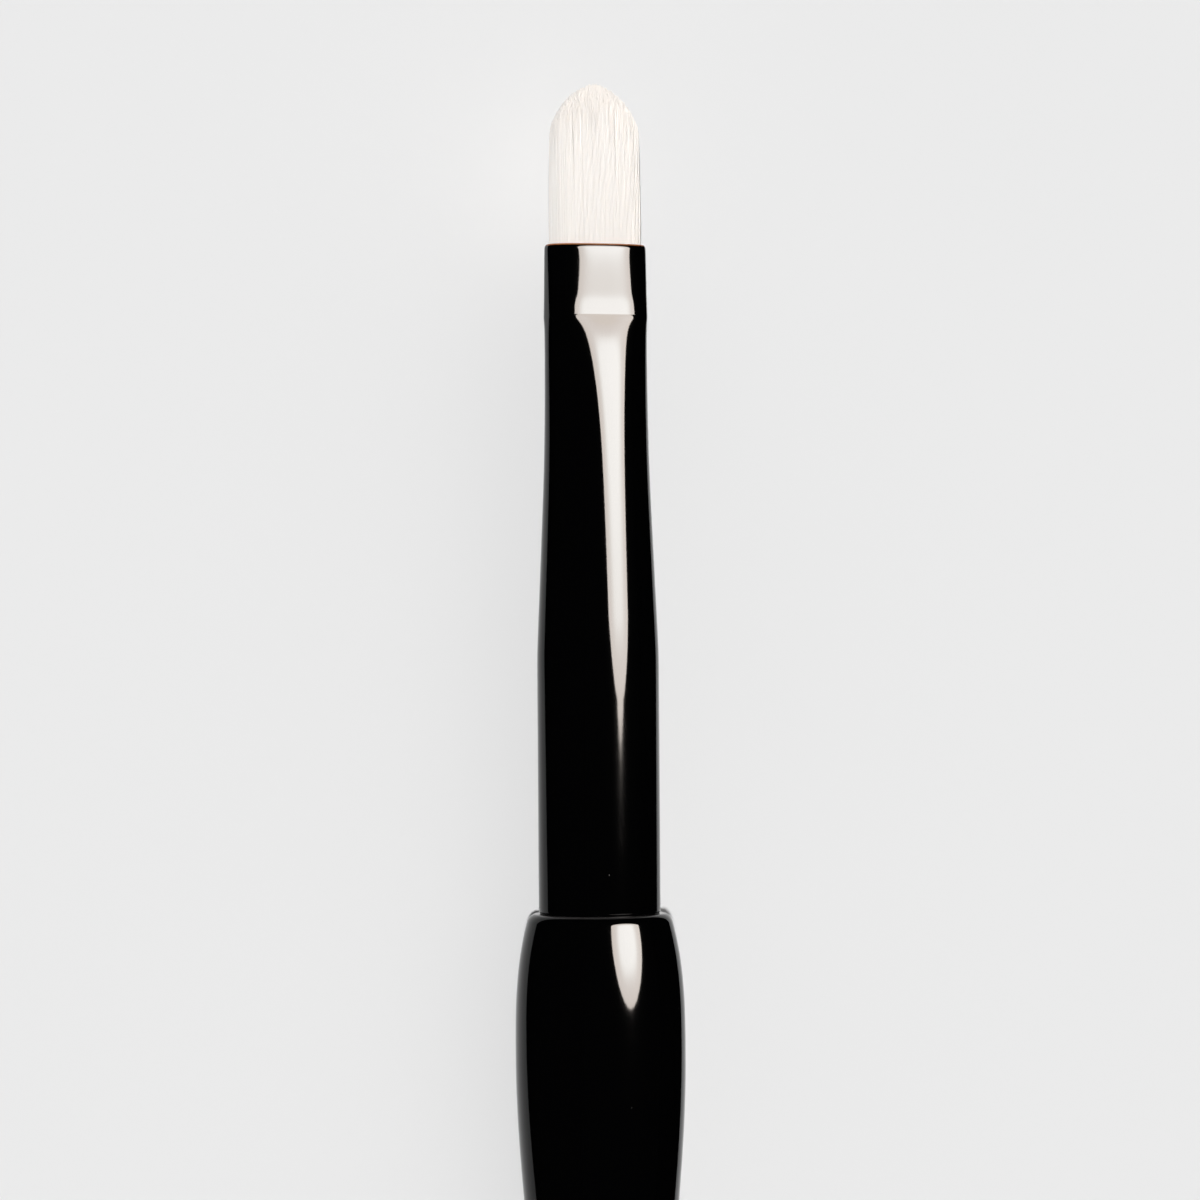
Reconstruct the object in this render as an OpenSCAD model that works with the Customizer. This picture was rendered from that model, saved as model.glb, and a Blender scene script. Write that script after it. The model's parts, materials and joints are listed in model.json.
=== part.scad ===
// Concealer brush, laid down along X with its head towards +X and the flats of
// its head facing up and down. It rests on the belly and on the tail of its
// handle, and Z is zero on the surface that it lies on. The round black handle
// has a belly and a turned tenon, the seamless ferrule lofts from a round barrel
// to a flat pressed mouth, and the flat tuft of filaments ends in a dome.

/* [Ferrule] */
// Outside diameter of the round barrel
barrel_d = 7.2; // [6.4:0.1:8.4]
// Length of the round barrel, from the shoulder of the handle
barrel_len = 12.7; // [10:0.1:22]
// Length of the loft between the barrel and the crease
loft_len = 22.8; // [14:0.1:30]
// Length of the flat pressed land between the crease and the mouth
land_len = 4; // [2.5:0.1:7]
// Outside width of the mouth
mouth_w = 6.14; // [5:0.02:7.4]
// Outside thickness of the mouth
mouth_t = 3; // [1.8:0.02:3.4]
// Growth in thickness along the land, from the mouth to the crease
land_flare = 0.2; // [0:0.02:0.6]
// Height of the swell behind the crease, on each flat
crease_swell = 0.77; // [0:0.01:0.8]
// Length behind the crease in which two thirds of the swell are gained
crease_swell_len = 2.5; // [1:0.1:3]
// Squareness of the mouth, where 2 is an ellipse
mouth_square = 2.6; // [2:0.1:3.5]
// Squareness of the section at the crease
crease_square = 3.3; // [2:0.1:4]
// Thickness of the drawn metal
wall = 0.25; // [0.2:0.01:0.4]

/* [Tuft] */
// Length of the tuft outside the mouth
tuft_len = 9.5; // [6:0.1:14]
// Length of the rounded end, seen on the flat
dome_len = 4.2; // [2:0.1:5.5]
// Length over which the end rounds off, seen on the edge
edge_len = 1.6; // [0.8:0.1:3]
// Share of its thickness that the tuft loses on the way to the tip
tip_thinning = 0.5; // [0:0.05:0.7]
// Swell of the filaments on each side once they leave the mouth
splay = 0.08; // [0:0.01:0.15]
// Depth of the furrows between neighbouring strands
furrow = 0.05; // [0:0.01:0.1]
// Depth of the roots inside the mouth
root_depth = 7; // [4:0.1:9]
// Length of the glue plug behind the roots
plug_len = 5; // [2:0.1:7]
// Depth of the hollow in the back of the glue plug
plug_dish = 0.6; // [0:0.1:1.5]

/* [Handle] */
// Length of the handle behind its shoulder
handle_len = 111; // [80:1:150]
// Diameter at the shoulder, before its edge is rounded
shoulder_d = 8.42; // [8.4:0.02:9.4]
// Length of the rounding at the shoulder
shoulder_round = 1; // [0.4:0.1:2]
// Radial depth of the rounding at the shoulder
shoulder_drop = 0.45; // [0.2:0.05:0.5]
// Largest diameter, at the belly
belly_d = 10.06; // [9.4:0.02:13]
// Distance of the belly from the shoulder
belly_at = 8.3; // [5:0.1:14]
// Distance behind the belly at which half of the swell is gone
half_swell_at = 20.4; // [12:0.1:30]
// Diameter that the handle thins down to
tail_d = 4.2; // [3:0.1:6]
// Length of the rounded end of the tail
tail_round = 2.6; // [1.5:0.1:5]
// Clearance between the end of the tenon and the start of the loft
tenon_end_gap = 1.6; // [0.5:0.1:4]
// Chamfer at the end of the tenon
tenon_chamfer = 0.5; // [0.2:0.1:1]

/* [Fits] */
// Film of glue around the tenon, on each side
glue_film = 0.05; // [0.02:0.01:0.1]
// Clearance of the roots and of the plug inside the ferrule
root_gap = 0.02; // [0.01:0.01:0.05]

/* [Hidden] */
$fn = 96;

barrel_r = barrel_d / 2;
mouth_z = barrel_len + loft_len + land_len;

// Facets around the lofted pieces, two to a strand of the tuft
facets = 64;
// Rings along each stretch of the ferrule
loft_rings = 18;
land_rings = 4;
rim_rings = 4;
// The loft's rings crowd towards the crease by this power
ring_crowding = 2;
// The lofted sleeve overlaps the barrel by this length, and both of its walls
// lie this little outside the barrel's, so that its facets clear the true rounds
sleeve_lap = 0.2;
sleeve_proud = 0.008;
// Shares of the loft over which its thickness gathers pace and comes to rest
thickness_start = 0.02;
thickness_stop = 0.21;
// The width keeps its mouth size a little longer, and is round a little sooner
width_delay = 0.19;
width_done = 0.91;
width_start = 0.44;
width_stop = 0.07;
// How soon and how fast the corners of the crease round off behind it
corner_len = 0.36;
corner_power = 0.4;

// Form of the tuft's dome: the powers of its rise and of its roundness
dome_rise = 2.7;
dome_fullness = 1.45;
// Power with which the tuft thins towards its tip
thinning_power = 1.5;
stem_rings = 5;
dome_rings = 10;

shoulder_points = 10;
belly_points = 14;
taper_points = 34;
tail_points = 12;

// Runs from 0 to 1, gathering pace over the share a and slowing over the share b
function glide(u, a, b) =
    let (v = min(max(u, 0), 1), pace = 1 / (1 - a / 2 - b / 2))
    v < a ? pace * v * v / (2 * a)
    : v <= 1 - b ? pace * (v - a / 2)
    : 1 - pace * (1 - v) * (1 - v) / (2 * b);

// Sizes of the ferrule at a distance s behind its mouth
function loft_share(s) = (s - land_len) / loft_len;
function half_t(s) =
    (mouth_t + land_flare * min(s / land_len, 1)) / 2
    + crease_swell * (1 - exp(-max(s - land_len, 0) / crease_swell_len))
    + (barrel_r - (mouth_t + land_flare) / 2 - crease_swell)
    * glide(loft_share(s), thickness_start, thickness_stop);
function half_w(s) =
    mouth_w / 2 + (barrel_r - mouth_w / 2)
    * glide((loft_share(s) - width_delay) / (width_done - width_delay),
        width_start, width_stop);
function square_at(s) =
    s < land_len ? mouth_square + (crease_square - mouth_square) * s / land_len
    : 2 + (crease_square - 2) * (1 - min(loft_share(s), 1))
    / pow(1 + pow((s - land_len) / corner_len, 2), corner_power);

// One closed ring of points: a rounded flat section with every second point sunk
function ring(t, w, square, z, sink = 0) = [
    for (i = [0 : facets - 1])
    let (
        a = 360 * i / facets,
        k = pow(pow(abs(cos(a)), square) + pow(abs(sin(a)), square), -1 / square),
        dip = i % 2 * sink
    )
    [(t - dip) * k * cos(a), (w - dip) * k * sin(a), z]
];
function section(s, inset) =
    ring(half_t(s) - inset, half_w(s) - inset, square_at(s), mouth_z - s);

// Distances behind the mouth at which the loft has its rings, barrel first
loft_stations = [
    for (i = [0 : loft_rings])
    land_len + loft_len * pow(1 - i / loft_rings, ring_crowding)
];
land_stations = [for (i = [1 : land_rings]) land_len * (1 - i / (land_rings + 1))];
stations = concat(loft_stations, land_stations);

// Triangles between neighbouring rings, from the first ring to the ring before last
function sides(first, last, count) = [
    for (j = [first : last], i = [0 : facets - 1])
    let (
        a = j * facets + i,
        b = j * facets + (i + 1) % facets,
        c = (j + 1) % count * facets + (i + 1) % facets,
        d = (j + 1) % count * facets + i
    )
    each [[a, c, b], [a, d, c]]
];

// A solid that closes on itself, like a sleeve: out along one wall, back along the other
module sleeve(rings) {
    count = len(rings);
    polyhedron([for (r = rings) each r], sides(0, count - 1, count));
}

// A solid stack of rings, closed by a point at each end
module stack(rings, start, end) {
    count = len(rings);
    first = count * facets;
    last_ring = (count - 1) * facets;
    caps = [
        for (i = [0 : facets - 1])
        let (next = (i + 1) % facets)
        each [[first, i, next], [first + 1, last_ring + next, last_ring + i]]
    ];
    polyhedron(concat([for (r = rings) each r], [start, end]),
        concat(sides(0, count - 2, count), caps));
}

// Outline of the handle: radius at a distance t behind the shoulder
belly_r = belly_d / 2;
tail_r = tail_d / 2;
function shoulder_cut(t) =
    shoulder_drop * (1 - sqrt(1 - pow(1 - min(t / shoulder_round, 1), 2)));
function swell(t) =
    t < belly_at ? belly_r - (belly_r - shoulder_d / 2) * pow(1 - t / belly_at, 2)
    : tail_r + (belly_r - tail_r) / (1 + pow((t - belly_at) / half_swell_at, 2));
function end_share(t) = sqrt(1 - pow(max(0, 1 - (handle_len - t) / tail_round), 2));
function handle_r(t) = swell(t) * end_share(t) - shoulder_cut(t);

// Distances behind the shoulder, with the rounded ends closer than the long taper
handle_stations = concat(
    [for (i = [0 : shoulder_points]) shoulder_round * (1 - cos(90 * i / shoulder_points))],
    [for (i = [1 : belly_points])
        shoulder_round + (belly_at - shoulder_round) * i / belly_points],
    [for (i = [1 : taper_points])
        belly_at + (handle_len - tail_round - belly_at) * pow(i / taper_points, 1.4)],
    [for (i = [1 : tail_points])
        handle_len - tail_round * (1 - sin(90 * i / tail_points))]
);
outline = [for (t = handle_stations) [handle_r(t), -t]];

// The brush comes to rest where belly and tail touch the surface together
function lowest(points, tilt) = min([for (p = points) p.y * sin(tilt) - p.x * cos(tilt)]);
belly_side = [for (p = outline) if (-p.y < handle_len / 2) p];
tail_side = [for (p = outline) if (-p.y >= handle_len / 2) p];
function settle(low, high, steps) =
    let (mid = (low + high) / 2)
    steps == 0 ? mid
    : lowest(belly_side, mid) < lowest(tail_side, mid) ? settle(mid, high, steps - 1)
    : settle(low, mid, steps - 1);
rest_tilt = settle(0, 10, 24);
lift = -lowest(outline, rest_tilt);

// The middle of the length lies over the origin
head_x = (mouth_z + tuft_len) * cos(rest_tilt);
tail_x = min([for (p = outline) p.y * cos(rest_tilt) - p.x * sin(rest_tilt)]);

// Lays down a piece that is drawn upright, with the shoulder at zero and the head up
module lay() {
    translate([-(head_x + tail_x) / 2, 0, lift])
        rotate([0, 90 - rest_tilt, 0])
            children();
}

module handle() {
    tenon_r = barrel_r - wall - glue_film;
    tenon_len = barrel_len - tenon_end_gap;
    tenon = [
        [0, tenon_len],
        [tenon_r - tenon_chamfer, tenon_len],
        [tenon_r, tenon_len - tenon_chamfer],
        [tenon_r, 0]
    ];
    color("#0c0c0d")
        lay()
            rotate_extrude()
                polygon(concat(tenon, outline));
}

module ferrule() {
    rim_r = wall / 2;
    end = land_len + loft_len + sleeve_lap;
    last = len(stations) - 1;
    outside = [for (s = stations) section(s, -sleeve_proud)];
    rim = [
        for (i = [0 : rim_rings])
        let (turn = 180 * i / rim_rings, inset = rim_r * (1 - cos(turn)) - sleeve_proud)
        ring(mouth_t / 2 - inset, mouth_w / 2 - inset, mouth_square,
            mouth_z - rim_r + rim_r * sin(turn))
    ];
    inside = [for (i = [0 : last]) section(stations[last - i], wall - sleeve_proud)];
    color("#121214")
        lay() {
            difference() {
                cylinder(d = barrel_d, h = barrel_len);
                translate([0, 0, -1])
                    cylinder(r = barrel_r - wall, h = barrel_len + 2);
            }
            sleeve(concat([section(end, -sleeve_proud)], outside, rim, inside,
                [section(end, wall - sleeve_proud)]));
        }
}

// Half sizes of the tuft at a distance v beyond the mouth
function dome(v) =
    pow(1 - pow(max(0, 1 - (tuft_len - v) / dome_len), dome_rise), 1 / dome_fullness);
function thinning(v) = 1 - tip_thinning * pow(v / tuft_len, thinning_power);
function edge_round(v) = sqrt(1 - pow(max(0, 1 - (tuft_len - v) / edge_len), 2));
function tuft_ring(v) =
    let (grown = splay * min(v / splay, 1) - wall - root_gap)
    ring((mouth_t / 2 + grown) * thinning(v) * edge_round(v),
        (mouth_w / 2 + grown) * dome(v),
        mouth_square, mouth_z + v, furrow * min(v / furrow, 1) * dome(v));

module bristle_tuft() {
    stem_len = tuft_len - dome_len;
    roots = concat([section(root_depth, wall + root_gap)],
        [for (s = stations) if (s < root_depth) section(s, wall + root_gap)]);
    stem = [for (i = [0 : stem_rings]) tuft_ring(stem_len * i / stem_rings)];
    end = [
        for (i = [1 : dome_rings])
        tuft_ring(stem_len + dome_len * sin(90 * i / (dome_rings + 0.5)))
    ];
    color("#f7f0e8")
        lay()
            stack(concat(roots, stem, end),
                [0, 0, mouth_z - root_depth], [0, 0, mouth_z + tuft_len]);
}

module root_plug() {
    back = root_depth + plug_len;
    inset = wall + root_gap;
    body = concat([section(back, inset)],
        [for (s = stations) if (s < back && s > root_depth) section(s, inset)],
        [section(root_depth, inset)]);
    hollow = [
        for (share = [0.4, 0.75])
        let (depth = plug_dish * (1 - share * share))
        [for (p = section(back, inset)) [p.x * share, p.y * share, p.z + depth]]
    ];
    color("#c8a76a")
        lay()
            stack(concat(hollow, body),
                [0, 0, mouth_z - back + plug_dish], [0, 0, mouth_z - root_depth]);
}

handle();
ferrule();
bristle_tuft();
root_plug();
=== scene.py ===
import json
import math
import random

import bmesh
import bpy
from mathutils import Matrix, Vector


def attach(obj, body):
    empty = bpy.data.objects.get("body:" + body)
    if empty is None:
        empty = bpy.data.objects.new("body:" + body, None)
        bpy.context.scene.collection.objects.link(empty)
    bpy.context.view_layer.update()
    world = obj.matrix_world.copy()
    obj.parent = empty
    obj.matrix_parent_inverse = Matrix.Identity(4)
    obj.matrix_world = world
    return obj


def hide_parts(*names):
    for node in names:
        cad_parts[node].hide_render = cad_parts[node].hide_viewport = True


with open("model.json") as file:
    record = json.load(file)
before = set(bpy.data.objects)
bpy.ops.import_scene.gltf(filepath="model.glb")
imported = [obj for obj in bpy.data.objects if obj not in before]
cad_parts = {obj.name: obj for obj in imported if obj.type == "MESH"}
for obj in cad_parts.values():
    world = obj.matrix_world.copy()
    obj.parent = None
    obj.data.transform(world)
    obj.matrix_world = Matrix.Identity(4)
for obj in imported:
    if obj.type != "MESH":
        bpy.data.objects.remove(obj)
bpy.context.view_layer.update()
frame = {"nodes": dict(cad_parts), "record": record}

# A concealer brush lies on its belly and its tail. Every piece is drawn upright
# in millimetres, with the shoulder of the handle at zero and the head up, and is
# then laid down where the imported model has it.

MM = 0.001

# Ferrule
BARREL_R = 3.6
BARREL_LEN = 12.7
LOFT_LEN = 22.635
LAND_LEN = 4.165
MOUTH_W = 6.14
MOUTH_T = 3.0
LAND_FLARE = 0.2
CREASE_SWELL = 0.77
CREASE_SWELL_LEN = 2.5
MOUTH_SQUARE = 2.6
CREASE_SQUARE = 3.3
WALL = 0.25
THICKNESS_START, THICKNESS_STOP = 0.02, 0.21
WIDTH_DELAY, WIDTH_DONE = 0.19, 0.91
WIDTH_START, WIDTH_STOP = 0.44, 0.07
CORNER_LEN = 0.36
CORNER_POWER = 0.4
MOUTH_Z = BARREL_LEN + LOFT_LEN + LAND_LEN
FERRULE_STEPS = 160
# The land rolls in a little at the mouth, then dips, and rises again before the crease
MOUTH_ROLL, MOUTH_ROLL_LEN = 0.048, 0.42
LAND_DIP, LAND_RISE = 0.034, 0.079
DIP_AT, DIP_LEN = 3.33, 0.16
# The tube rolls in a little at the shoulder, and has a rounded lip at the mouth
END_ROLL, END_ROLL_LEN = 0.07, 0.2
END_RINGS = 4
LIP_LEN = 0.28
LIP_RINGS = 12
LIP_CLEAR = 0.01
# Rings of the land and the loft, measured from the mouth: each run's start, spacing and
# count, with the closest rings at the crease. Two rings more lie that far behind the loft.
RING_RUNS = ((0.02, 0.08, 50), (LAND_LEN - 0.14, 0.02, 12), (LAND_LEN + 0.1, 0.05, 12),
             (LAND_LEN + 0.7, 0.1, 21), (7, 0.4, 52))
BARREL_RINGS = (3, 8)

# Tuft
TUFT_LEN = 9.5
DOME_LEN = 4.2
EDGE_LEN = 1.6
TIP_THINNING = 0.5
THINNING_POWER = 1.5
DOME_RISE = 2.7
DOME_FULLNESS = 1.45
SPLAY, SPLAY_LEN = 0.03, 0.6
GATHER = 0.03
ROOT_GAP = 0.02
ROOT_DEPTH = 7.0
FILAMENT_R = 0.0395
FILAMENT_PITCH = 0.079
# Half sizes of the mouth's opening
HOLE_T, HOLE_W = MOUTH_T / 2 - WALL, MOUTH_W / 2 - WALL
# What sets a filament apart from its neighbours
SEED = 11
ROOT_JITTER = 0.004
TIP_SPREAD, TIP_LOSS = 0.045, 0.04
DRIFT = 0.012
WAVE_LEAST, WAVE_MOST = 0.001, 0.005
WAVE_SKEW = 1.3
# A filament gets thinner over the last part of its length
TAPER_FROM, TAPER_LOSS, TAPER_POWER = 0.75, 0.45, 1.5
# Depths behind the mouth, and shares of the length beyond it, that have a point
ROOT_POINTS = (ROOT_DEPTH, LAND_LEN, 1.2)
OUTER_POINTS = (0, 0.05, 0.12, 0.25, 0.42, 0.58, 0.72, 0.84, 0.93, 1)
CORE_POINTS = (0, 0.1, 0.35, 0.6, 0.78, 0.9, 1)
# Depth of the outer filaments under the flats and under the edges
FLAT_LAYER, EDGE_LAYER = 0.3, 0.35

# Handle
HANDLE_LEN = 111.0
SHOULDER_R = 4.17
SHOULDER_ROUND = 0.5
SHOULDER_DROP = 0.36
BELLY_R = 5.03
BELLY_AT = 8.3
BELLY_RISE = 2.9
HALF_SWELL_AT = 20.4
TAIL_R = 2.1
TAIL_ROUND = 2.6
GLUE_FILM = 0.05
TENON_R = BARREL_R - WALL - GLUE_FILM
TENON_END_GAP = 1.6
TENON_LEN = BARREL_LEN - TENON_END_GAP
TENON_CHAMFER = 0.5
HANDLE_STEPS = 128
SHOULDER_RINGS, BELLY_RINGS, TAPER_RINGS, TAIL_RINGS = 18, 24, 70, 16
TAPER_CROWDING = 1.2

# The two heights between which each coat turns to its edge tone: at the shoulder a painted
# reflection line, at the mouth an orange-brown band on the rim
SHOULDER_PAINTED_REFLECTION = (-0.13, -0.07)
RIM_BAND = (MOUTH_Z - 0.11, MOUTH_Z - 0.03)

# Camera: the photograph is 1200 pixels wide, and the barrel is its ruler
PICTURE_PIXELS = 1200
BARREL_PIXELS = 121.8
PIXEL = 2 * BARREL_R / BARREL_PIXELS
VIEW_PIXELS = 5150
AIM_BEHIND_MOUTH = 355 * PIXEL
AIM_RIGHT = 0.148
TURN = math.radians(20.6)
LEAN = math.radians(0.4)
SENSOR = 36

# Stage
TABLE_HALF = 6000
BOX_BEHIND_MOUTH = 255 * PIXEL
BOX_FLATTENING = 1.1
BOX_STRENGTH = 124
# The glow's squareness, and in shares of the box's radius its drop and its upper dimming
GLOW_SQUARE = 2.6
GLOW_DROP = 0.03
GLOW_UPPER_DIMMING = 0.16
CARD_AHEAD = 15
CARD_HALF_HEIGHT = 8

# Where the brush lies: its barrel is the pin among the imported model's mounts
pin = next(m for m in frame["record"]["mounts"] if m["name"] == "ferrule_barrel")
AXIS = Vector(pin["axis"]).normalized()
SHOULDER = Vector(pin["pos_m"]) - AXIS * pin["dims"]["length_mm"] * MM / 2
FLAT_UP = Vector((-AXIS.z, 0, AXIS.x))
SIDE = Vector((0, 1, 0))
LAID = Matrix.Translation(SHOULDER) @ Matrix((-FLAT_UP, SIDE, AXIS)).transposed().to_4x4()

# From the brush to the camera, and to the right of the picture before it leans
BACK = FLAT_UP * math.cos(TURN) + SIDE * math.sin(TURN)
RIGHT = FLAT_UP * math.sin(TURN) - SIDE * math.cos(TURN)


# Forms

def glide(share, start, stop):
    """Runs from 0 to 1, gathering pace over the share start and slowing over the share stop."""
    share = min(max(share, 0), 1)
    pace = 1 / (1 - start / 2 - stop / 2)
    if share < start:
        return pace * share * share / (2 * start)
    if share <= 1 - stop:
        return pace * (share - start / 2)
    return 1 - pace * (1 - share) ** 2 / (2 * stop)


def loft_share(s):
    """Share of the loft that is passed at a distance s behind the mouth."""
    return (s - LAND_LEN) / LOFT_LEN


def land_roll(s):
    """What the land stands off its straight wedge, at a distance s behind the mouth."""
    if not 0 <= s <= LAND_LEN:
        return 0
    at_crease = 1 + math.exp((LAND_LEN - DIP_AT) / DIP_LEN)
    here = 1 + math.exp((s - DIP_AT) / DIP_LEN)
    dip = LAND_DIP * (LAND_LEN - s) - LAND_RISE * DIP_LEN * math.log(at_crease / here)
    return dip - MOUTH_ROLL * math.exp(-s / MOUTH_ROLL_LEN)


def half_t(s):
    """Half the ferrule's thickness at a distance s behind the mouth, without the land's roll."""
    wedge = (MOUTH_T + LAND_FLARE * min(s / LAND_LEN, 1)) / 2
    swell = CREASE_SWELL * (1 - math.exp(-max(s - LAND_LEN, 0) / CREASE_SWELL_LEN))
    rest = BARREL_R - (MOUTH_T + LAND_FLARE) / 2 - CREASE_SWELL
    return wedge + swell + rest * glide(loft_share(s), THICKNESS_START, THICKNESS_STOP)


def half_w(s):
    """Half the ferrule's width at a distance s behind the mouth."""
    share = (loft_share(s) - WIDTH_DELAY) / (WIDTH_DONE - WIDTH_DELAY)
    return MOUTH_W / 2 + (BARREL_R - MOUTH_W / 2) * glide(share, WIDTH_START, WIDTH_STOP)


def square_at(s):
    """Squareness of the section at a distance s behind the mouth, which is 2 where it is round."""
    if s < LAND_LEN:
        return MOUTH_SQUARE + (CREASE_SQUARE - MOUTH_SQUARE) * s / LAND_LEN
    fading = (1 + ((s - LAND_LEN) / CORNER_LEN) ** 2) ** CORNER_POWER
    return 2 + (CREASE_SQUARE - 2) * (1 - min(loft_share(s), 1)) / fading


def on_section(angle, t, w, square):
    """The point at that angle on a rounded flat section of those half sizes."""
    c, s = math.cos(angle), math.sin(angle)
    reach = (abs(c) ** square + abs(s) ** square) ** (-1 / square)
    return t * reach * c, w * reach * s


def handle_r(t):
    """Radius of the handle at a distance t behind its shoulder."""
    if t < BELLY_AT:
        swell = BELLY_R - (BELLY_R - SHOULDER_R) * (1 - t / BELLY_AT) ** BELLY_RISE
    else:
        swell = TAIL_R + (BELLY_R - TAIL_R) / (1 + ((t - BELLY_AT) / HALF_SWELL_AT) ** 2)
    tail = max(0, 1 - (HANDLE_LEN - t) / TAIL_ROUND)
    edge = 1 - min(t / SHOULDER_ROUND, 1)
    drop = SHOULDER_DROP * (1 - math.sqrt(1 - edge * edge))
    return swell * math.sqrt(max(0, 1 - tail * tail)) - drop


def tip_height(across, through):
    """Height of the tuft where those shares of its half width and thickness are reached."""
    dome = (1 - min(abs(across), 1) ** DOME_FULLNESS) ** (1 / DOME_RISE)
    edge = math.sqrt(max(0, 1 - through * through))
    return TUFT_LEN - DOME_LEN * (1 - dome) - EDGE_LEN * (1 - edge)


# Making pieces

def spun(profile, steps, closed):
    """A shape turned round the upright axis from a profile of (radius, height)."""
    bm = bmesh.new()
    verts = [bm.verts.new((r, 0, z)) for r, z in profile]
    pairs = list(zip(verts, verts[1:])) + ([(verts[-1], verts[0])] if closed else [])
    edges = [bm.edges.new(pair) for pair in pairs]
    bmesh.ops.spin(bm, geom=verts + edges, cent=(0, 0, 0), axis=(0, 0, 1), dvec=(0, 0, 0),
                   angle=math.tau, steps=steps, use_merge=True, use_duplicate=False)
    bmesh.ops.remove_doubles(bm, verts=bm.verts, dist=1e-5)
    return bm


def to_mesh(bm, name):
    """Turns a bmesh into a mesh whose faces point outwards."""
    bmesh.ops.recalc_face_normals(bm, faces=bm.faces)
    mesh = bpy.data.meshes.new(name)
    bm.to_mesh(mesh)
    bm.free()
    return mesh


def place(name, data):
    """Puts a mesh, lamp or camera into the scene."""
    made = bpy.data.objects.new(name, data)
    bpy.context.scene.collection.objects.link(made)
    return made


def piece(name, mesh, node, finish, sharp=30):
    """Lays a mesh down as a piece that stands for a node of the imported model."""
    mesh.transform(LAID @ Matrix.Scale(MM, 4))
    mesh.shade_smooth()
    mesh.set_sharp_from_angle(angle=math.radians(sharp))
    mesh.materials.append(finish)
    made = place(name, mesh)
    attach(made, "root")
    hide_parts(node)


# Shader maths

class Value:
    """A socket of a finish, so that shader maths reads as an expression."""

    def __init__(self, finish, socket):
        self.finish, self.socket = finish, socket

    def maths(self, kind, *values):
        return self.finish.add("Math", dict(enumerate(values)), operation=kind)

    def __add__(self, other):
        return self.maths("ADD", self, other)

    __radd__ = __add__

    def __mul__(self, other):
        return self.maths("MULTIPLY", self, other)

    __rmul__ = __mul__

    def __pow__(self, other):
        return self.maths("POWER", self, other)

    def __rpow__(self, other):
        return self.maths("POWER", other, self)

    def __gt__(self, other):
        return self.maths("GREATER_THAN", self, other)

    def __lt__(self, other):
        return self.maths("LESS_THAN", self, other)


class Finish:
    """A material whose nodes are added one by one."""

    def __init__(self, name):
        self.material = bpy.data.materials.new(name)
        self.material.use_nodes = True
        self.tree = self.material.node_tree
        self.tree.nodes.clear()

    def add(self, kind, sockets=None, out=0, **settings):
        """Adds a node with those settings and sockets, and gives back one of its outputs."""
        node = self.tree.nodes.new("ShaderNode" + kind)
        for key, value in settings.items():
            if key == "stops":
                self.set_stops(node.color_ramp.elements, value)
            else:
                setattr(node, key, value)
        for key, value in (sockets or {}).items():
            if isinstance(value, Value):
                self.tree.links.new(value.socket, node.inputs[key])
            else:
                node.inputs[key].default_value = value
        return Value(self, node.outputs[out]) if node.outputs else None

    def set_stops(self, ramp, stops):
        while len(ramp) < len(stops):
            ramp.new(0.5)
        for element, (position, colour) in zip(ramp, stops):
            element.position, element.color = position, colour

    def blend(self, factor, first, second):
        """Mixes two colours, which the Mix node takes in sockets 6 and 7 and gives in output 2."""
        return self.add("Mix", {0: factor, 6: first, 7: second}, out=2, data_type="RGBA")

    def done(self, surface):
        """Shows the surface, and gives back the material."""
        self.add("OutputMaterial", {"Surface": surface})
        return self.material

    def millimetres(self):
        """The piece's own coordinates in millimetres."""
        metres = self.add("TexCoord", out="Object")
        return self.add("Mapping", {"Vector": metres, "Scale": (1000, 1000, 1000)})

    def stretched(self, spot, along, across):
        """Coordinates scaled apart along the brush and across it."""
        tilt = math.atan2(AXIS.z, AXIS.x)
        return self.add("Mapping", {
            "Vector": spot, "Rotation": (0, -tilt, 0), "Scale": (along, across, across)},
            vector_type="TEXTURE")


# Finishes

def grey(level):
    return (level, level, level, 1)


def gloss_black(name, peel, edge, edge_tone):
    """Deep black polished coat with dust and soft smudges, turned to another colour at an edge.

    The peel is the height of its faint waves, and the edge is the two heights between which the
    edge tone sets in: a painted reflection line at the handle's shoulder, an orange-brown band at
    the ferrule's rim.
    """
    f = Finish(name)
    spot = f.millimetres()
    cells = {"Vector": spot, "Scale": 0.9}
    near = f.add("TexVoronoi", cells, out="Distance")
    pick = f.add("SeparateColor", {"Color": f.add("TexVoronoi", cells, out="Color")}, out="Red")
    specks = (near < 0.03) * (pick > 0.72)
    smudge = f.add("TexNoise", {"Vector": spot, "Scale": 0.16, "Detail": 4.0, "Roughness": 0.6})
    tone = f.blend(specks, (0.0006, 0.0006, 0.0007, 1), (0.035, 0.032, 0.03, 1))
    height = f.add("VectorMath", {0: spot, 1: AXIS}, out="Value", operation="DOT_PRODUCT")
    shoulder = AXIS.dot(SHOULDER) / MM
    # Share of the edge tone, rising toward the edge: painted reflection at the shoulder,
    # orange-brown at the rim
    edge_mask = f.add("MapRange", {
        "Value": height, "From Min": shoulder + edge[0], "From Max": shoulder + edge[1]},
        interpolation_type="SMOOTHSTEP")
    tone = f.blend(edge_mask, tone, edge_tone)
    skin = f.add("TexNoise", {"Vector": spot, "Scale": 0.7, "Detail": 2.0})
    bump = f.add("Bump", {"Strength": 1.0, "Distance": peel * MM, "Height": skin}, out="Normal")
    return f.done(f.add("BsdfPrincipled", {
        "Base Color": tone, "Roughness": smudge * 0.05 + specks * 0.4 + 0.03,
        "Specular IOR Level": 0.1, "Normal": bump}))


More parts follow.
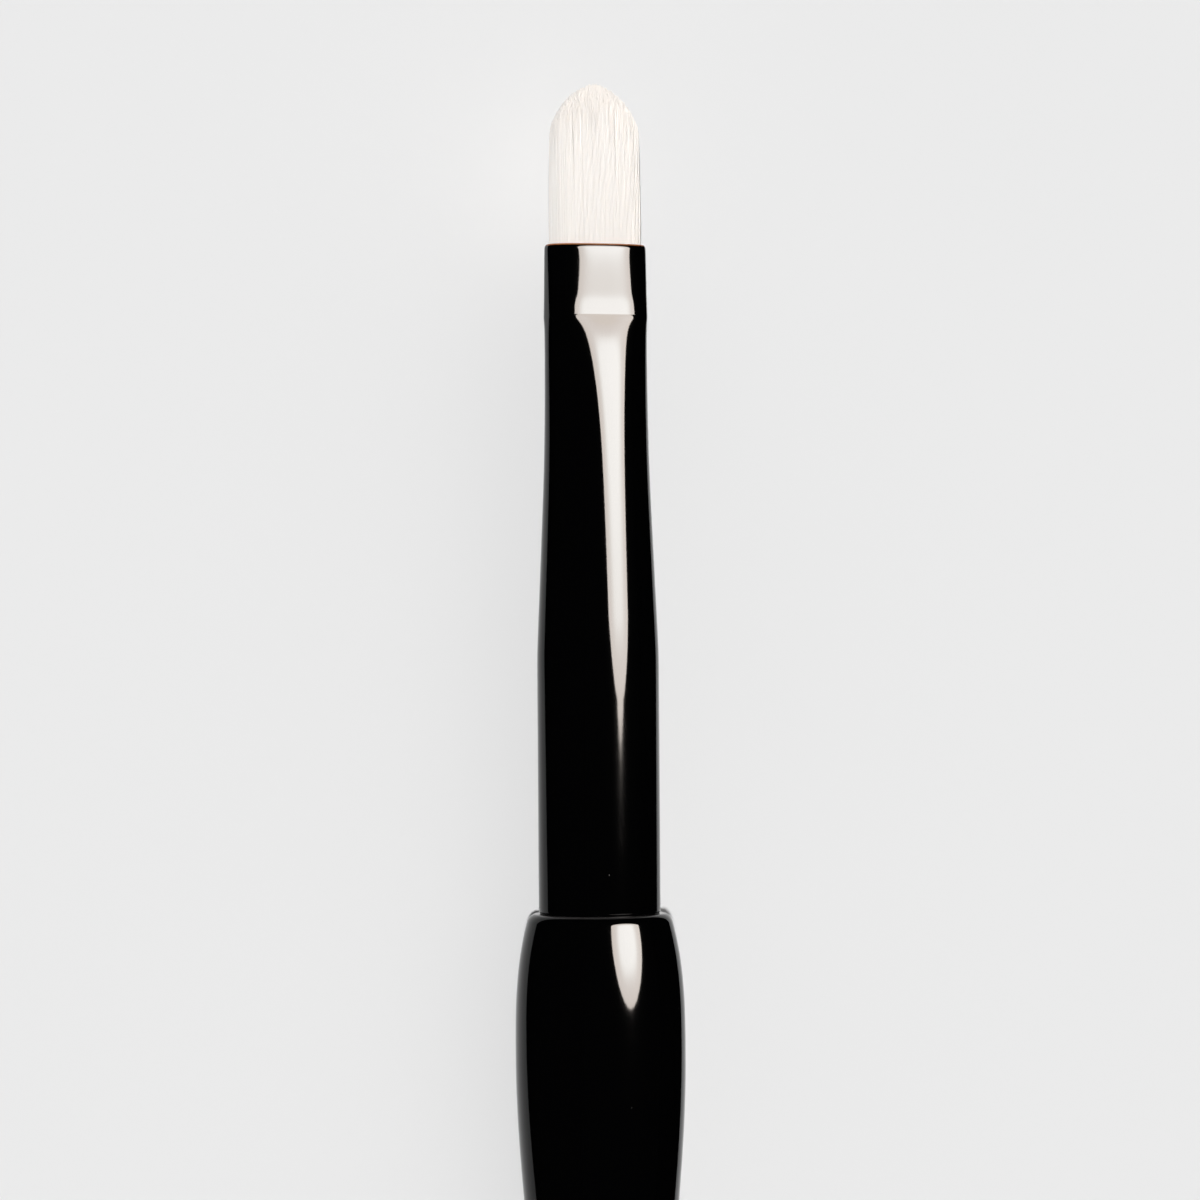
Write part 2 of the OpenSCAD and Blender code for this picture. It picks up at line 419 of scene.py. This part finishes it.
def filament_finish():
    """Warm white, with fine strands and wider locks that differ a little in tone."""
    f = Finish("warm_white_filament")
    spot = f.millimetres()
    strand = f.add("TexNoise", {
        "Vector": f.stretched(spot, 4.0, 0.09), "Scale": 1.0, "Detail": 2.0})
    lock = f.add("TexNoise", {
        "Vector": f.stretched(spot, 14.0, 0.5), "Scale": 1.0, "Detail": 1.0})
    tone = f.blend(strand, (0.985, 0.925, 0.86, 1), (0.998, 0.955, 0.905, 1))
    tone = f.blend(lock * 0.2, tone, (0.985, 0.915, 0.845, 1))
    return f.done(f.add("BsdfPrincipled", {
        "Base Color": tone, "Roughness": strand * 0.2 + 0.4, "Specular IOR Level": 0.3,
        "Subsurface Weight": 0.5, "Subsurface Radius": (1.0, 0.9, 0.8),
        "Subsurface Scale": 0.4 * MM}))


def glue_finish():
    """Cured amber glue, cloudy and with small bubbles."""
    f = Finish("amber_glue")
    spot = f.millimetres()
    cloud = f.add("TexNoise", {"Vector": spot, "Scale": 1.4, "Detail": 3.0})
    bubbles = f.add("TexVoronoi", {"Vector": spot, "Scale": 2.6}, out="Distance") < 0.14
    tone = f.blend(cloud, (0.30, 0.17, 0.06, 1), (0.62, 0.43, 0.20, 1))
    bump = f.add("Bump", {"Strength": 0.6, "Distance": 0.1 * MM, "Height": bubbles}, invert=True)
    return f.done(f.add("BsdfPrincipled", {
        "Base Color": tone, "Roughness": cloud * 0.2 + 0.2, "Normal": bump}))


def matt_finish(name, dark, light):
    """Matt card or paint, clouded a little between two tones."""
    f = Finish(name)
    spot = f.add("TexCoord", out="Object")
    cloud = f.add("TexNoise", {"Vector": spot, "Scale": 40.0, "Detail": 3.0})
    return f.done(f.add("BsdfPrincipled", {
        "Base Color": f.blend(cloud, dark, light), "Roughness": 1.0, "Specular IOR Level": 0.0}))


def glow_finish(radius):
    """Cloth of a soft box of that radius, bright in its middle, warmer and dimmer outside."""
    f = Finish("soft_box_cloth")
    spot = f.add("TexCoord", out="Object")
    across = f.add("SeparateXYZ", {"Vector": spot}, out="X") * (1 / radius)
    up = f.add("SeparateXYZ", {"Vector": spot}, out="Y") * (1 / radius) + GLOW_DROP
    half = GLOW_SQUARE / 2
    rounded = ((across * across) ** half + (up * up) ** half) ** (1 / GLOW_SQUARE)
    off_middle = rounded + (up > 0) * up * GLOW_UPPER_DIMMING
    glow = f.add("ValToRGB", {"Fac": off_middle}, stops=[
        (0.0, (0.90, 0.872, 0.842, 1)), (0.44, (0.88, 0.853, 0.82, 1)),
        (0.55, (0.81, 0.778, 0.742, 1)), (0.64, (0.715, 0.67, 0.63, 1)),
        (0.74, (0.65, 0.595, 0.555, 1)), (0.90, (0.62, 0.56, 0.515, 1)),
        (1.0, (0.61, 0.545, 0.49, 1))])
    return f.done(f.add("Emission", {"Color": glow, "Strength": BOX_STRENGTH}))


# Handle piece

def handle_piece():
    """Turned handle with its tenon, shoulder, belly and long taper."""
    quarter = math.pi / 2
    taper_len = HANDLE_LEN - TAIL_ROUND - BELLY_AT
    shoulder = [SHOULDER_ROUND * (1 - math.cos(quarter * i / SHOULDER_RINGS))
                for i in range(SHOULDER_RINGS + 1)]
    belly = [SHOULDER_ROUND + (BELLY_AT - SHOULDER_ROUND) * i / BELLY_RINGS
             for i in range(1, BELLY_RINGS + 1)]
    taper = [BELLY_AT + taper_len * (i / TAPER_RINGS) ** TAPER_CROWDING
             for i in range(1, TAPER_RINGS + 1)]
    tail = [HANDLE_LEN - TAIL_ROUND * (1 - math.sin(quarter * i / TAIL_RINGS))
            for i in range(1, TAIL_RINGS + 1)]
    profile = [(0, TENON_LEN), (TENON_R - TENON_CHAMFER, TENON_LEN),
               (TENON_R, TENON_LEN - TENON_CHAMFER), (TENON_R, 0)]
    profile += [(max(0, handle_r(t)), -t) for t in shoulder + belly + taper + tail]
    mesh = to_mesh(spun(profile, HANDLE_STEPS, closed=False), "turned_handle")
    # Its edge tone, a dark grey line along the shoulder, is a painted reflection of the pale
    # surroundings
    finish = gloss_black("black_lacquer", peel=0.0012, edge=SHOULDER_PAINTED_REFLECTION,
                         edge_tone=(0.032, 0.03, 0.03, 1))
    piece("turned_handle", mesh, "handle", finish)


# Ferrule piece

def ferrule_heights():
    """Heights above the shoulder at which the ferrule has a ring, from the lip down."""
    loft_end = LAND_LEN + LOFT_LEN
    behind = [start + spacing * i for start, spacing, count in RING_RUNS for i in range(count)]
    behind = [s for s in behind if LIP_LEN + LIP_CLEAR < s < loft_end]
    behind += [loft_end] + [loft_end + s for s in BARREL_RINGS]
    last = [END_ROLL_LEN * (1 - i / END_RINGS) for i in range(END_RINGS + 1)]
    return [MOUTH_Z - s for s in behind] + last


def end_roll(z):
    """How far the end of the tube rolls in, at a height z above the shoulder."""
    return END_ROLL * max(0, 1 - z / END_ROLL_LEN) ** 2


def ferrule_piece():
    """Seamless tube, turned round first and then pressed into the sections of its loft."""
    heights = ferrule_heights()
    turns = [math.pi * i / LIP_RINGS for i in range(LIP_RINGS + 1)]
    lip = [(BARREL_R - WALL / 2 * (1 - math.cos(turn)),
            MOUTH_Z - LIP_LEN * (1 - math.sin(turn))) for turn in turns]
    outside = [(BARREL_R - end_roll(z), z) for z in reversed(heights)]
    inside = [(BARREL_R - WALL, z) for z in heights]
    bm = spun(outside + lip + inside, FERRULE_STEPS, closed=True)
    for v in bm.verts:
        inset = BARREL_R - math.hypot(v.co.x, v.co.y)
        s = MOUTH_Z - v.co.z
        t, w = half_t(s) + land_roll(s) - inset, half_w(s) - inset
        v.co.x, v.co.y = on_section(math.atan2(v.co.y, v.co.x), t, w, square_at(s))
    mesh = to_mesh(bm, "lofted_ferrule")
    # Its edge tone turns a thin band at the rim of the mouth orange-brown
    finish = gloss_black("black_enamel", peel=0.0008, edge=RIM_BAND,
                         edge_tone=(0.44, 0.155, 0.055, 1))
    piece("lofted_ferrule", mesh, "ferrule", finish, sharp=50)


# Tuft pieces

def filament_roots(rng):
    """Places of the filaments in the mouth, packed like honeycomb."""
    t, w = HOLE_T - FILAMENT_R, HOLE_W - FILAMENT_R
    row = FILAMENT_PITCH * math.sqrt(0.75)
    rows, columns = int(t / row) + 1, int(w / FILAMENT_PITCH) + 2
    found = []
    for j in range(-rows, rows + 1):
        for i in range(-columns, columns + 1):
            x = j * row + rng.uniform(-1, 1) * ROOT_JITTER
            y = (i + j % 2 / 2) * FILAMENT_PITCH + rng.uniform(-1, 1) * ROOT_JITTER
            if (abs(x) / t) ** MOUTH_SQUARE + (abs(y) / w) ** MOUTH_SQUARE <= 1:
                found.append((x, y))
    return found


def filament_path(x, y, shares, rng):
    """Points and relative radii of one filament, from its root in the glue to its tip."""
    top = tip_height(y / HOLE_W, x / HOLE_T)
    top = top + rng.gauss(0, TIP_SPREAD) - abs(rng.gauss(0, TIP_LOSS))
    drift = rng.gauss(0, DRIFT), rng.gauss(0, DRIFT)
    wave, phase = rng.uniform(WAVE_LEAST, WAVE_MOST), rng.uniform(0, math.tau)
    path = []
    for s in ROOT_POINTS:
        grow_t = (half_t(s) - WALL - ROOT_GAP - FILAMENT_R) / (HOLE_T - FILAMENT_R)
        grow_w = (half_w(s) - WALL - ROOT_GAP - FILAMENT_R) / (HOLE_W - FILAMENT_R)
        path.append(((x * grow_t, y * grow_w, MOUTH_Z - s), 1.0))
    for share in shares:
        v = top * share
        spread = SPLAY * min(v / SPLAY_LEN, 1)
        thin = 1 - TIP_THINNING * (v / TUFT_LEN) ** THINNING_POWER
        far = (v / TUFT_LEN) ** 2
        px = x * (1 + spread / HOLE_T) * thin
        py = y * (1 + spread / HOLE_W) * (1 - GATHER * far)
        px += drift[0] * far + wave * math.sin(phase + v)
        py += drift[1] * far + wave * math.cos(phase + WAVE_SKEW * v)
        late = max(0, (share - TAPER_FROM) / (1 - TAPER_FROM))
        path.append(((px, py, MOUTH_Z + v), 1 - TAPER_LOSS * late ** TAPER_POWER))
    return path


def filament_mesh(name, paths):
    """One mesh of thin closed tubes along the paths."""
    curve = bpy.data.curves.new(name, "CURVE")
    curve.dimensions = "3D"
    curve.bevel_depth = FILAMENT_R
    curve.bevel_resolution = 0
    curve.use_fill_caps = True
    for path in paths:
        spline = curve.splines.new("POLY")
        spline.points.add(len(path) - 1)
        for point, (spot, radius) in zip(spline.points, path):
            point.co = (*spot, 1)
            point.radius = radius
    holder = bpy.data.objects.new(name, curve)
    mesh = bpy.data.meshes.new_from_object(holder)
    bpy.data.objects.remove(holder)
    bpy.data.curves.remove(curve)
    mesh.name = name
    return mesh


def tuft_pieces():
    """Domed flat tuft of separate filaments: a core, and the outer layers with more points."""
    rng = random.Random(SEED)
    groups = {"outer_filaments": [], "core_filaments": []}
    for x, y in filament_roots(rng):
        outer = abs(x) > HOLE_T - FLAT_LAYER or abs(y) > HOLE_W - EDGE_LAYER
        path = filament_path(x, y, OUTER_POINTS if outer else CORE_POINTS, rng)
        groups["outer_filaments" if outer else "core_filaments"].append(path)
    finish = filament_finish()
    for name, paths in groups.items():
        mesh = filament_mesh(name, paths)
        piece(name, mesh, "bristle_tuft", finish, sharp=100)


# Camera and stage

def behind_mouth(distance):
    """The point of the brush's axis that lies that far behind the mouth."""
    return SHOULDER + AXIS * (MOUTH_Z - distance) * MM


def camera():
    """Camera of the photograph, for which the brush is turned on its axis and leans a little."""
    made = place("camera", bpy.data.cameras.new("camera"))
    made.data.sensor_width = SENSOR
    made.data.lens = SENSOR * VIEW_PIXELS / PICTURE_PIXELS
    made.data.clip_start = 0.01
    made.data.clip_end = 20
    aim = behind_mouth(AIM_BEHIND_MOUTH) + RIGHT * AIM_RIGHT * MM
    up = AXIS * math.cos(LEAN) + RIGHT * math.sin(LEAN)
    across = RIGHT * math.cos(LEAN) - AXIS * math.sin(LEAN)
    facing = Matrix((across, up, BACK)).transposed().to_4x4()
    made.matrix_world = Matrix.Translation(aim + BACK * VIEW_PIXELS * PIXEL * MM) @ facing
    bpy.context.scene.camera = made


def table():
    """Pale table under the brush."""
    bm = bmesh.new()
    bmesh.ops.create_grid(bm, x_segments=8, y_segments=8, size=TABLE_HALF * MM)
    mesh = to_mesh(bm, "table")
    mesh.materials.append(matt_finish("pale_table", grey(0.805), grey(0.815)))
    place("table", mesh)


def toward(azimuth, elevation):
    """Direction from the brush, by angles from the camera's line to the right and to the head."""
    a, e = math.radians(azimuth), math.radians(elevation)
    return (BACK * math.cos(a) + RIGHT * math.sin(a)) * math.cos(e) + AXIS * math.sin(e)


def glossy_only(made):
    """Makes a piece of the stage that shows in glossy coats alone."""
    made.visible_camera = False
    made.visible_diffuse = False
    made.visible_shadow = False
    made.visible_transmission = False


def soft_box(azimuth, elevation, half_angle, distance):
    """Round soft box, a little flattened, that lies in that direction from the brush."""
    radius = distance * math.tan(math.radians(half_angle)) * MM
    bm = bmesh.new()
    bmesh.ops.create_circle(bm, segments=32, radius=radius, cap_ends=True)
    mesh = bpy.data.meshes.new("soft_box")
    bm.to_mesh(mesh)
    bm.free()
    mesh.materials.append(glow_finish(radius))
    out = toward(azimuth, elevation)
    level = AXIS.cross(out).normalized()
    facing = Matrix((level, out.cross(level), out)).transposed().to_4x4()
    flattened = Matrix.Diagonal((1, 1 / BOX_FLATTENING, 1, 1))
    middle = behind_mouth(BOX_BEHIND_MOUTH) + out * distance * MM
    made = place("soft_box", mesh)
    made.matrix_world = Matrix.Translation(middle) @ facing @ flattened
    glossy_only(made)


def dark_card(name, at_head, at_tail):
    """Black card that stands on edge along the brush, that far from its middle at each end."""
    head = Vector((SHOULDER.x + AXIS.x * (MOUTH_Z + CARD_AHEAD) * MM, at_head * MM, 0))
    tail = Vector((SHOULDER.x - AXIS.x * HANDLE_LEN * MM, at_tail * MM, 0))
    along = (head - tail) / 2
    upright = Vector((0, 0, CARD_HALF_HEIGHT * MM))
    standing = Matrix((along, upright, along.cross(upright).normalized())).transposed().to_4x4()
    middle = Matrix.Translation((head + tail) / 2 + upright)
    bm = bmesh.new()
    bmesh.ops.create_grid(bm, x_segments=8, y_segments=1, size=1, matrix=middle @ standing)
    mesh = to_mesh(bm, name)
    mesh.materials.append(matt_finish("black_card", grey(0.003), grey(0.005)))
    glossy_only(place(name, mesh))


def sun(name, direction, strength, spread):
    """Sun from that direction, which glossy coats don't mirror."""
    lamp = bpy.data.lights.new(name, "SUN")
    lamp.energy = strength
    lamp.angle = math.radians(spread)
    made = place(name, lamp)
    made.rotation_mode = "QUATERNION"
    made.rotation_quaternion = direction.to_track_quat("Z", "Y")
    made.visible_glossy = False


def studio():
    """Dim even world, and colours shown as they are."""
    world = bpy.data.worlds.new("studio")
    world.use_nodes = True
    world.node_tree.nodes["Background"].inputs["Color"].default_value = grey(0.012)
    bpy.context.scene.world = world
    bpy.context.scene.view_settings.view_transform = "Standard"


handle_piece()
ferrule_piece()
tuft_pieces()
plug = frame["nodes"]["root_plug"]
plug.data.materials.clear()
plug.data.materials.append(glue_finish())

camera()
table()
soft_box(azimuth=42.3, elevation=17.9, half_angle=22.9, distance=509)
dark_card("left_card", at_head=5.6, at_tail=16.5)
dark_card("right_card", at_head=-12.5, at_tail=-22.5)
sun("key", toward(0, 1), strength=2.74, spread=2)
sun("fill", Vector((0, 0, 1)), strength=0.62, spread=180)
studio()
